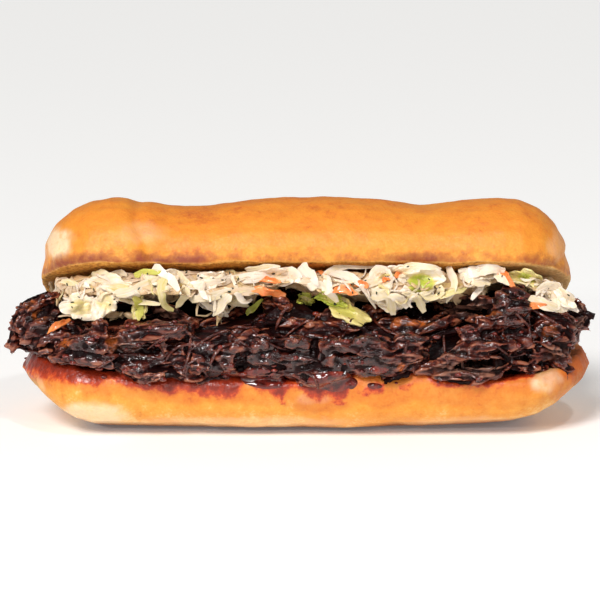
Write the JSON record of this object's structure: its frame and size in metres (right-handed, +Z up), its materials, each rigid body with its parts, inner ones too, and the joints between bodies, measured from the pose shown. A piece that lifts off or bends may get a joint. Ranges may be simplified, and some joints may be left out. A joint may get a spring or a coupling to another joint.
{
  "type": "barbecue brisket sub",
  "caption": "Soft sub roll, cut and hinged along its back, opened over shredded beef brisket in dark barbecue sauce with coleslaw on top.",
  "frame": {"origin": "centre of the outline, on the surface that the roll rests on", "axes": "+X along the roll, the open side towards -Y, +Z up"},
  "size_m": [0.1952, 0.0798, 0.0749],
  "materials": {
    "baked_crust": "soft baked bread crust, golden brown, paler and matt where it was cut",
    "sauced_beef": "stringy beef, nearly black, wet with barbecue sauce",
    "dressed_cabbage": "pale shredded cabbage with a thin moist dressing"
  },
  "bodies": {
    "root": {"roll": "baked_crust", "brisket": "sauced_beef", "coleslaw": "dressed_cabbage"}
  },
  "joints": []
}
